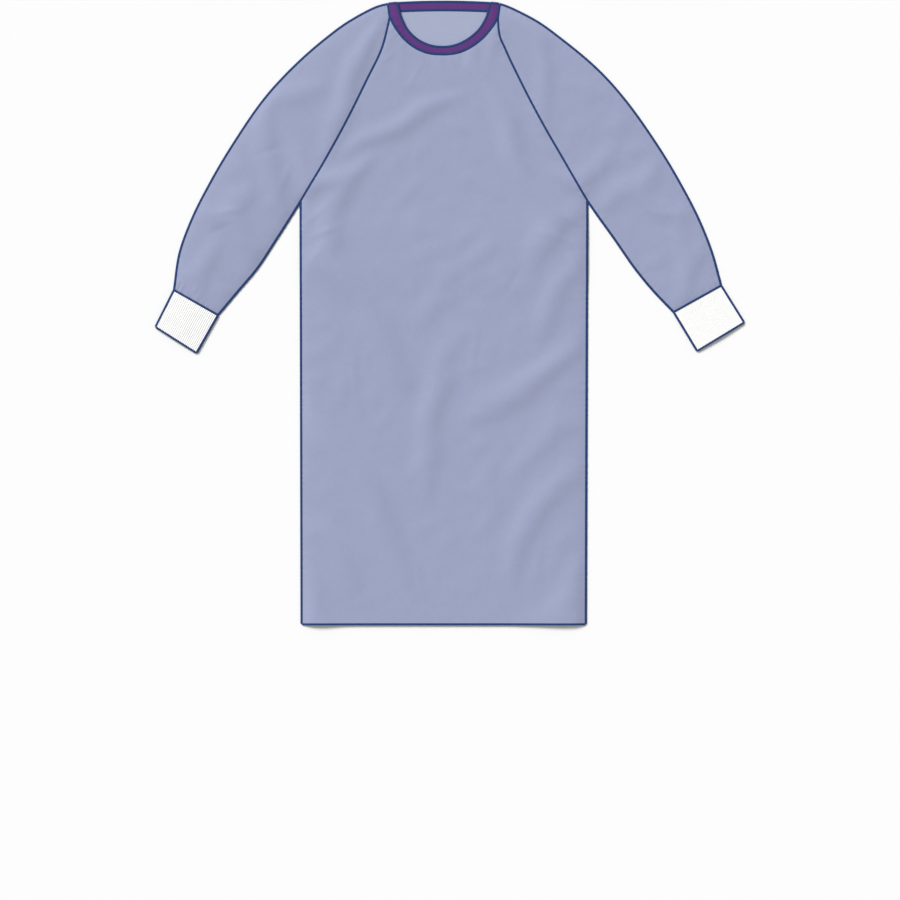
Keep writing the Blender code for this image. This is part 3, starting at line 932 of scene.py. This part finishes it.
class Nodes:
    """Short hands for building a material's nodes. An input is a number or another node's output."""

    def __init__(self, name):
        self.material = bpy.data.materials.new(name)
        self.material.use_nodes = True
        self.tree = self.material.node_tree
        self.shader = self.tree.nodes["Principled BSDF"]
        self.place = self.add("TexCoord", {})["Object"]

    def fill(self, node, inputs):
        for key, value in inputs.items():
            if isinstance(value, bpy.types.NodeSocket):
                self.tree.links.new(value, node.inputs[key])
            else:
                node.inputs[key].default_value = value

    def add(self, kind, inputs, **settings):
        """The outputs of a new node."""
        node = self.tree.nodes.new("ShaderNode" + kind)
        for key, value in settings.items():
            setattr(node, key, value)
        self.fill(node, inputs)
        return node.outputs

    def texture(self, kind, size, inputs, turn=0.0, **settings):
        """A texture over the object, in units of size (x, y, z or one number), turned about Z first."""
        place = self.place
        if turn:
            turned = self.add("VectorRotate", {"Vector": place, "Angle": turn}, rotation_type="Z_AXIS")
            place = turned["Vector"]
        scaled = self.add("VectorMath", {0: place, 1: np.broadcast_to(size, 3)}, operation="DIVIDE")["Vector"]
        return self.add("Tex" + kind, {"Scale": 1, **inputs, "Vector": scaled}, **settings)

    def noise(self, size, detail=2.0, turn=0.0):
        return self.texture("Noise", size, {"Detail": detail}, turn)["Fac"]

    def total(self, first, *others):
        for other in others:
            first = self.add("Math", {0: first, 1: other}, operation="ADD")["Value"]
        return first

    def times(self, value, factor):
        return self.add("Math", {0: value, 1: factor}, operation="MULTIPLY")["Value"]

    def spread(self, value, low, high, to_low, to_high):
        inputs = {"Value": value, "From Min": low, "From Max": high, "To Min": to_low, "To Max": to_high}
        return self.add("MapRange", inputs)["Result"]

    def varied(self, noise, least, most):
        """The usual range of a noise, spread from least to most."""
        return self.spread(noise, 0.3, 0.7, least, most)

    def colour(self, base, *shades):
        """The base colour, brighter or darker by the sum of the shades."""
        scaled = self.add("VectorMath", {0: base, "Scale": self.total(*shades)}, operation="SCALE")
        self.fill(self.shader, {"Base Color": scaled["Vector"]})

    def bump(self, height, distance, strength):
        made = self.add("Bump", {"Strength": strength, "Distance": distance, "Height": height})
        self.fill(self.shader, {"Normal": made["Normal"]})

    def finish(self, roughness, specular, sheen=0.0, sheen_roughness=0.5):
        inputs = {"Roughness": roughness, "Specular IOR Level": specular}
        self.fill(self.shader, {**inputs, "Sheen Weight": sheen, "Sheen Roughness": sheen_roughness})
        return self.material


def nonwoven(name, base):
    """Spunbond cloth: random fibres in soft clouds, pressed together at small bond points."""
    made = Nodes(name)
    clouds, patches = made.noise(0.008, detail=3.0), made.noise(0.05)
    one_way, other_way = ((0.00035, 0.006, 0.006), 0.35), ((0.006, 0.0004, 0.006), -0.5)
    fibres = made.total(*(made.noise(size, turn=turn) for size, turn in (one_way, other_way)))
    cells = made.texture("Voronoi", (0.0017, 0.0022, 1.0), {"Randomness": 0}, turn=0.785)
    points = made.spread(cells["Distance"], 0.16, 0.34, 1.0, 0.0)
    made.colour(
        base,
        made.varied(clouds, 0.985, 1.015),
        made.varied(patches, -0.006, 0.006),
        made.spread(fibres, 0.7, 1.3, -0.03, 0.03),
        made.times(points, -0.035),
    )
    made.bump(made.total(made.times(points, -1.0), made.times(fibres, 0.6)), distance=0.00012, strength=0.6)
    roughness = made.spread(points, 0.0, 1.0, 0.78, 0.58)
    return made.finish(roughness, specular=0.3, sheen=0.08, sheen_roughness=0.5)


def rib_knit(name, base):
    """Knit with its small loops and some fuzz, the gaps between the loops painted darker as painted shade. The ribs
    are in the mesh.
    """
    made = Nodes(name)
    loops = made.texture("Voronoi", 0.0012, {"Randomness": 0.25})["Distance"]
    fuzz, clouds = made.noise(0.0006, detail=3.0), made.noise(0.02, detail=3.0)
    fibres = made.varied(fuzz, -0.02, 0.02)
    # The loop term lightens the loops' middles and darkens their edges, low in the bump: painted shade between the
    # loops
    made.colour(base, made.varied(clouds, 0.985, 1.0), fibres, made.spread(loops, 0.1, 0.7, 0.01, -0.03))
    made.bump(made.total(made.times(loops, -1.0), made.times(fuzz, 0.5)), distance=0.0003, strength=0.7)
    return made.finish(roughness=0.95, specular=0.2, sheen=0.2, sheen_roughness=0.6)


def band_tape(name, base):
    """Woven tape: a fine twill, its ridges painted lighter and its grooves darker as painted shade."""
    made = Nodes(name)
    twill = made.texture("Wave", 0.0045, {"Distortion": 0.6, "Detail": 2}, bands_direction="DIAGONAL")["Fac"]
    yarn, worn = made.noise(0.0005), made.noise(0.012, detail=3.0)
    wear = made.varied(worn, -0.04, 0.04)
    # The twill term follows the bump's height: lighter on the twill's ridges and darker in its grooves, which is
    # painted shade
    made.colour(base, made.spread(twill, 0.0, 1.0, 0.93, 1.05), made.varied(yarn, -0.05, 0.05), wear)
    made.bump(made.total(twill, made.times(yarn, 0.5)), distance=0.00015, strength=0.8)
    return made.finish(roughness=0.75, specular=0.25, sheen=0.1, sheen_roughness=0.45)


def overlock_thread(name, base):
    made = Nodes(name)
    strands, dye = made.noise(0.0004), made.noise(0.03)
    made.colour(base, made.varied(strands, 0.86, 1.12), made.varied(dye, -0.05, 0.05))
    made.bump(strands, distance=0.0002, strength=0.7)
    return made.finish(roughness=0.7, specular=0.15)


def plain_floor():
    made = Nodes("floor")
    made.colour(FLOOR_COLOUR, made.varied(made.noise(0.4), 0.997, 1.003))
    return made.finish(roughness=0.9, specular=0.1)


# The material of each slot. The base colours are in linear light
LOOKS = {
    "cloth": nonwoven("nonwoven_cloth", (0.310, 0.342, 0.500)),
    # The inside face is a lighter copy of the cloth: partly its own lighter tone, partly painted light that lifts it
    # against the shade under the front neck band
    "cloth_inside": nonwoven("nonwoven_inside", (0.364, 0.397, 0.547)),
    "knit": rib_knit("white_rib_knit", (0.95, 0.95, 0.94)),
    "band": band_tape("purple_tape", (0.108, 0.031, 0.191)),
    "thread": overlock_thread("navy_thread", (0.018, 0.048, 0.160)),
}


# Meshes


def grid_faces(index):
    """The quads of a grid of point numbers."""
    return np.stack([index[:-1, :-1], index[:-1, 1:], index[1:, 1:], index[1:, :-1]], -1).reshape(-1, 4)


def placed(name, data):
    """A new object in the scene."""
    made = bpy.data.objects.new(name, data)
    bpy.context.scene.collection.objects.link(made)
    return made


def mesh_from(name, points, faces, material=None):
    mesh = bpy.data.meshes.new(name)
    mesh.vertices.add(len(points))
    mesh.vertices.foreach_set("co", np.asarray(points, np.float32).ravel())
    mesh.loops.add(faces.size)
    mesh.loops.foreach_set("vertex_index", faces.astype(np.int32).ravel())
    mesh.polygons.add(len(faces))
    mesh.polygons.foreach_set("loop_start", np.arange(0, faces.size, 4, dtype=np.int32))
    mesh.update(calc_edges=True)
    mesh.validate()
    if material:
        mesh.materials.append(material)
    mesh.shade_smooth()
    return placed(name, mesh)


def square(name, half, height, material=None):
    """A level square about the origin."""
    corners = [[-half, -half, height], [half, -half, height], [half, half, height], [-half, half, height]]
    return mesh_from(name, corners, np.array([[0, 1, 2, 3]]), material)


def shell(name, plan, bottom, top, slot):
    """A closed sheet between two heights over a grid of plan points. A piece that shows the inside of the
    gown on its upper face has the cloth's outside below."""
    points = [np.concatenate([plan, heights[..., None]], axis=-1).reshape(-1, 3) for heights in (bottom, top)]
    index = np.arange(bottom.size).reshape(bottom.shape)
    rim = np.concatenate([index[0], index[1:, -1], index[-1, -2::-1], index[-2:0:-1, 0]])
    after = np.roll(rim, -1)
    sides = np.stack([rim, after, after + bottom.size, rim + bottom.size], axis=-1)
    under = grid_faces(index)
    faces = np.concatenate([under[:, ::-1], under + bottom.size, sides])
    ahead, across = plan[1, 0] - plan[0, 0], plan[0, 1] - plan[0, 0]
    if across[0] * ahead[1] <= across[1] * ahead[0]:
        faces = faces[:, ::-1]
    two_faced = slot == "cloth_inside"
    made = mesh_from(name, np.concatenate(points), faces, LOOKS["cloth" if two_faced else slot])
    made.data.set_sharp_from_angle(angle=np.radians(SHARP_ANGLE))
    if two_faced:
        made.data.materials.append(LOOKS[slot])
        which = np.zeros(len(faces), np.int32)
        which[len(under) : 2 * len(under)] = 1
        made.data.polygons.foreach_set("material_index", which)
    return made


def plan_area(plan):
    """The area of a grid of plan points."""
    one = plan[1:, 1:] - plan[:-1, :-1]
    other = plan[1:, :-1] - plan[:-1, 1:]
    return float(np.abs(one[..., 0] * other[..., 1] - one[..., 1] * other[..., 0]).sum() / 2)


def panel_size(plan):
    """Width and length of the rectangle that a body panel is cut from, along the centre line."""
    return tuple(np.ptp(plan.reshape(-1, 2), axis=0).tolist())


def cut_size(plan):
    """Width and length of the rectangle that a piece is cut from, along its longest run."""
    points = plan.reshape(-1, 2) - plan.reshape(-1, 2).mean(axis=0)
    axes = np.linalg.eigh(points.T @ points)[1]
    return tuple(sorted(np.ptp(points @ axes, axis=0).tolist()))


def strip_size(plan):
    """Width and length of a tape or a cuff, along its run."""
    across = np.linalg.norm(plan[:, -1] - plan[:, 0], axis=1).max()
    return float(across), float(steps_of(plan.mean(axis=1)).sum())


def about(middle, wall):
    """The underside and the top of a wall with this middle."""
    return middle - wall / 2, middle + wall / 2


def lay(node, kind, slot, plan, faces, rests_on, size_of=cut_size):
    """A cloth piece takes its solid's place and is declared as a sheet of its cut."""
    piece = shell(f"{node}_{kind}", plan, *faces, slot)
    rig.ride(piece, "root")
    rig.replaces(piece, node)
    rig.slot(piece, slot)
    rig.sheet(piece, flat=size_of(plan), held="laid", rests_on=rests_on, area=plan_area(plan))


# Pieces of cloth


def front_panel():
    plan = front_plan(FRONT_SPACING)
    under_it = ["back_left", "back_right"]
    lay("front", "cloth", "cloth", plan, about(front_middle(plan), SHELL), under_it, panel_size)


def back_panel(side, flap):
    """Its upper face is the inside of the gown, and its underside the outside."""
    plan = back_plan(side, BACK_SPACING)
    faces = about(back_middle(plan, flap), SHELL)
    under_it = ["back_left"] if flap == "inner" else []
    lay(f"back_{side}", "cloth", "cloth_inside", plan, faces, under_it, panel_size)


def sleeve_half(side, layer):
    front = layer == "front"
    plan = sleeve_plan(side, layer, FRONT_SPACING if front else SLEEVE_BACK_SPACING)
    middle = front_middle(plan) if front else back_middle(plan)
    under_it = [f"sleeve_{side}_back"] if front else []
    lay(f"sleeve_{side}_{layer}", "cloth", "cloth", plan, about(middle, SHELL), under_it)


def cuff_half(side, layer):
    """Rib knit: the ribs run from the cuff seam to the end, and wander a little."""
    over, under = evenly(cuff_edges(side), KNIT_SPACING)
    for edge in (over, under):
        edge[0] += SEAM_GAP / 2 * (edge[1] - edge[0]) / np.linalg.norm(edge[1] - edge[0])
    ribs = round(np.linalg.norm(over[0] - under[0]) / RIB_PITCH)
    share = np.linspace(0, 1, ribs * STEPS_PER_RIB + 1)
    plan = between(over, under, share)
    rows = np.linspace(0, 1, len(plan))[:, None]
    wander = sum(swing * np.sin(along * rows + across * share) for swing, along, across in RIB_WANDER)
    rib = np.abs(np.sin(np.pi * (share * ribs + wander))) ** RIB_FULLNESS
    if layer == "front":
        bottom = cuff_top(plan) - RIB_RISE - KNIT_SHELL
        top = bottom + KNIT_SHELL + RIB_RISE * rib
    else:
        top = np.full(plan.shape[:-1], CUFF_BACK_TOP)
        bottom = top - KNIT_SHELL - HIDDEN_RIB_RISE * rib
    under_it = [f"cuff_{side}_back"] if layer == "front" else []
    lay(f"cuff_{side}_{layer}", "knit", "knit", plan, (bottom, top), under_it, strip_size)


def lay_tape(node, slot, edges, steps, middle_of, wall, rests_on):
    """A folded tape between two edges, rounded off towards both."""
    share = np.linspace(0, 1, steps + 1)
    plan = between(*edges, share)
    full = np.clip(1 - np.abs(2 * share - 1) ** TAPE_SQUARENESS, 0, 1) ** 0.5
    faces = about(middle_of(plan), wall * (TAPE_RIM + (1 - TAPE_RIM) * full))
    lay(node, "tape", slot, plan, faces, rests_on, strip_size)


def neck_band_front():
    outer, inner = neck_edges()
    edges = evenly([moved_sideways(outer, SEAM_GAP / 2), inner], BAND_SPACING)
    lay_tape("neck_band_front", "band", edges, BAND_STEPS, band_middle, BAND_SHELL, ["neck_band_back_right"])


def neck_band_back(side, flap):
    outward = OUTWARD[side]
    edges = [
        plan_curve(outward * (x - SEAM_GAP / 2), -outward * LAP, down_of, BACK_BAND_POINTS)
        for x, down_of in ((NECK_ROWS[0][0], back_top_down), (back_corner()[0], back_neck_down))
    ]
    edges[1][:, 1] += SEAM_GAP / 2
    under_it = ["neck_band_back_left"] if flap == "inner" else []
    lay_tape(f"neck_band_back_{side}", "band", edges, TAPE_STEPS, lambda at: back_middle(at, flap),
             BACK_BAND_SHELL, under_it)


def waist_tie(name, start_x, down, length):
    edges = [
        plan_curve(start_x, start_x + length, lambda x: np.full_like(x, edge_down), TIE_POINTS)
        for edge_down in (down - TIE_WIDTH / 2, down + TIE_WIDTH / 2)
    ]
    lay_tape(name, "cloth", edges, TAPE_STEPS, lambda at: np.full(at.shape[:-1], TIE / 2), TIE_SHELL, [])


# Overlock thread


def thread(name, plan_line, low_of, high_of, width=SEAM_WIDTH, inner=0, per_wrap=PER_WRAP):
    """Thread wrapped over a seam or an edge: a rounded band along a line in plan, ridged by its wraps.
    low_of and high_of give the heights of its underside and its top at points in plan. Where the cloth
    ends at the line, inner is 1 with the cloth on the line's left, and -1 with it on the right."""
    line = evenly([plan_line], WRAP_PITCH / per_wrap)[0]
    left = left_of(np.gradient(line, axis=0))[:, None, :]
    along = summed(steps_of(line))[:, None]
    angle = np.linspace(0, 2 * np.pi, WRAP_AROUND, endpoint=False)
    waves = np.cos(angle), np.sin(angle)
    sideways, up = (np.sign(wave) * np.abs(wave) ** WRAP_SQUARENESS for wave in waves)
    on_cloth = np.where(sideways * inner < 0, 0, sideways)
    at = line[:, None, :] + width / 2 * on_cloth[:, None] * left
    low, high = low_of(at), high_of(at)
    wrap = 1 - np.abs(np.sin(np.pi * along / WRAP_PITCH + WRAP_SLANT * sideways)) ** WRAP_SHARPNESS
    to_end = np.minimum(along, along[-1] - along) / (width * THREAD_END)
    taper = np.sqrt(np.clip(1 - (1 - np.clip(to_end, 0, 1)) ** 2, THREAD_END_LEAST, 1))
    points = np.empty((len(line), WRAP_AROUND, 3))
    reach = (width - WRAP_DEPTH * wrap) / 2 * taper * sideways
    points[..., :2] = line[:, None, :] + reach[..., None] * left
    points[..., 2] = (high + low) / 2 + ((high - low) / 2 - WRAP_DEPTH * wrap) * taper * up
    index = np.arange(len(line) * WRAP_AROUND).reshape(-1, WRAP_AROUND)
    cap = np.array([[0, k - 1, k, k + 1] for k in range(2, WRAP_AROUND - 1, 2)])
    faces = [grid_faces(index), grid_faces(index[:, [-1, 0]]), cap[:, ::-1], index[-1][cap]]
    piece = mesh_from(f"thread_{name}", points.reshape(-1, 3), np.concatenate(faces), LOOKS["thread"])
    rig.ride(piece, "root")
    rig.slot(piece, "thread")


def over_seam(name, line, surface_of, width=SEAM_WIDTH):
    """Overlock over a seam, on the face of the cloth."""
    thread(name, line, lambda at: surface_of(at) - SEAM_SUNK, lambda at: surface_of(at) + SEAM_PROUD, width)


def resting_seam(name, line, top_of):
    """Overlock under a seam of the back layer whose one side lies flat on the surface."""
    thread(name, line, lambda at: THREAD_REST, top_of, per_wrap=HIDDEN_PER_WRAP)


def over_edge(name, line, middle_of, wall, width=SEAM_WIDTH, per_wrap=PER_WRAP, lowest=-np.inf):
    """Overlock round an open edge of a piece with this middle and this wall."""
    half = wall / 2 + EDGE_PROUD
    thread(name, line, lambda at: np.maximum(middle_of(at) - half, lowest), lambda at: middle_of(at) + half,
           width, per_wrap=per_wrap)


def longer(line):
    """The line in plan, run on at its far end by the overlap of a joint."""
    heading = line[-1] - line[-2]
    return np.concatenate([line, [line[-1] + heading * JOINT_OVERLAP / np.linalg.norm(heading)]])


def front_top(plan):
    return front_middle(plan) + SHELL / 2


def cuff_top(plan):
    """The top of the ribs of a cuff's front half."""
    return front_middle(plan, KNIT, KNIT, CUFF_RELIEF) + (KNIT_SHELL + RIB_RISE) / 2 + CUFF_PROUD


def sleeve_top(plan):
    """The top of the front layer of a sleeve and its cuff, which meet halfway up a step at their seam."""
    past = np.zeros(plan.shape[:-1])
    for side in OUTWARD:
        over, under = cuff_edges(side)
        inward = over[0] - over[1]
        across = (under[0] - over[0]) / np.linalg.norm(under[0] - over[0])
        normal = inward - across * (inward @ across)
        off = (plan - over[0]) @ normal / np.linalg.norm(normal)
        past = np.maximum(past, smooth_step(0.5 - off / JOINT_RUN))
    sleeve, cuff = front_top(plan), cuff_top(plan)
    return sleeve + past * (cuff - sleeve)


def back_edge(plan):
    """The middle of the back layer along the closed contour."""
    return CLOTH / 2 + on_body(plan) * tie_lift(plan, TIE_RAMP)


def band_middle(plan):
    return front_middle(plan, BAND, relief=BAND_RELIEF)


def sew_side(side, outward):
    """The seams and edges of one side of the gown."""
    for name, line in contour_lines(side, FINE).items():
        top_of = front_top if name == "side" else sleeve_top
        inner = outward if name == "underarm" else -outward
        thread(f"{name}_{side}", line, lambda at: back_edge(at) - SHELL / 2 - EDGE_PROUD,
               lambda at: top_of(at) + SEAM_PROUD, EDGE_SEAM_WIDTH, inner)
    over_seam(f"raglan_{side}_front", longer(raglan(side)), front_top)
    over_seam(f"cuff_joint_{side}_front", cuff_line(side, 0), cuff_top)
    end = cuff_line(side, 1)
    thread(f"cuff_end_{side}_front", end, lambda at: cuff_top(at) - KNIT_SHELL - RIB_RISE - EDGE_PROUD,
           lambda at: cuff_top(at) + EDGE_PROUD)
    resting_seam(f"cuff_end_{side}_back", end, lambda at: CUFF_BACK_TOP)


def sew_back(side, outward, flap):
    """The seams and open edges of one back flap, which only show from below."""
    def middle(at):
        return back_middle(at, flap)

    resting_seam(f"raglan_{side}_back", longer(raglan(side, "back")), middle)
    resting_seam(f"cuff_joint_{side}_back", cuff_line(side, 0), back_middle)
    resting_seam(f"shoulder_{side}_back", in_plan(outward, (NECK_ROWS[0][:2], back_corner())), middle)
    neckline = plan_curve(outward * back_corner()[0], -outward * LAP, back_neck_down)
    thread(f"back_neckline_{side}", neckline, lambda at: middle(at) - SHELL / 2 - EDGE_PROUD, middle,
           per_wrap=HIDDEN_PER_WRAP)
    downs = back_neck_down(LAP), back_top_down(LAP), LENGTH
    neck, top, hem = in_plan(-outward, [(LAP, down) for down in downs])
    for name, ends, wall in (
        ("hem_back", (hem_corner(side), hem), SHELL),
        ("opening", (neck, hem), SHELL),
        ("band_end", (top, neck), BACK_BAND_SHELL),
    ):
        over_edge(f"{name}_{side}", np.stack(ends), middle, wall, SEAM_WIDTH, HIDDEN_PER_WRAP, THREAD_REST)


def sew():
    """Navy overlock: round the closed contour, over the seams and round the free edges."""
    for side, outward in OUTWARD.items():
        sew_side(side, outward)
        sew_back(side, outward, FLAPS[side])
    over_edge("hem_front", np.stack([hem_corner(side) for side in OUTWARD]), front_middle, SHELL)
    outer, inner = neck_edges()
    over_seam("band_outer", outer, lambda at: band_middle(at) + BAND_SEAM_LIFT, BAND_SEAM_WIDTH)
    over_edge("band_inner", inner, band_middle, BAND_SHELL, BAND_SEAM_WIDTH)
    for side, outward in OUTWARD.items():
        end = in_plan(outward, (NECK_ROWS[0][:2], NECK_ROWS[0][2:]))
        over_edge(f"shoulder_{side}_front", end, band_middle, BAND_SHELL, BAND_SEAM_WIDTH)
    top = plan_curve(-NECK_ROWS[0][0], NECK_ROWS[0][0], back_top_down)
    over_edge("back_band_top", top, lambda at: back_middle(at, "inner"), BACK_BAND_SHELL, BAND_SEAM_WIDTH)
    seam = plan_curve(-back_corner()[0], LAP, back_neck_down)
    over_seam("back_neckline", seam, lambda at: back_middle(at, "inner") + BACK_BAND_SEAM_LIFT,
              BAND_SEAM_WIDTH)


# The scene around it


def camera():
    """Straight above the middle of the photo's frame."""
    view = bpy.data.cameras.new("camera")
    view.lens = LENS
    view.sensor_width = SENSOR
    made = placed("camera", view)
    x = (PHOTO_SIZE / 2 - PHOTO_CENTRE_FRONT) * PIXEL
    y = down_to_y((PHOTO_SIZE / 2 - PHOTO_TOP) * PIXEL)
    made.location = (x, float(y), PHOTO_SIZE * PIXEL * LENS / SENSOR)
    bpy.context.scene.camera = made


def light():
    """A large soft key light from the upper left, and even light from all round."""
    sun = bpy.data.lights.new("key", "SUN")
    sun.energy = KEY_STRENGTH
    sun.angle = np.radians(KEY_SPREAD)
    placed("key", sun).rotation_euler = (0, np.radians(90 - KEY_ELEVATION), np.radians(KEY_AZIMUTH))
    world = bpy.data.worlds.new("studio")
    world.use_nodes = True
    background = world.node_tree.nodes["Background"].inputs
    background["Color"].default_value = (1, 1, 1, 1)
    background["Strength"].default_value = FILL_STRENGTH
    bpy.context.scene.world = world
    bpy.context.scene.view_settings.view_transform = "Standard"


def main():
    global SETTLED
    camera()
    light()
    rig.stage(square("floor", FLOOR_HALF, 0, plain_floor()))
    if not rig.quick():
        SETTLED = settled_folds()
    front_panel()
    neck_band_front()
    for side, flap in FLAPS.items():
        back_panel(side, flap)
        neck_band_back(side, flap)
        for layer in ("front", "back"):
            sleeve_half(side, layer)
            cuff_half(side, layer)
    for row in TIE_ROWS:
        waist_tie(*row)
    sew()


main()
with open("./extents.json", "w") as file:
    json.dump([[list(corner) for corner in solids_box], [list(corner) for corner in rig.bounds()]], file)
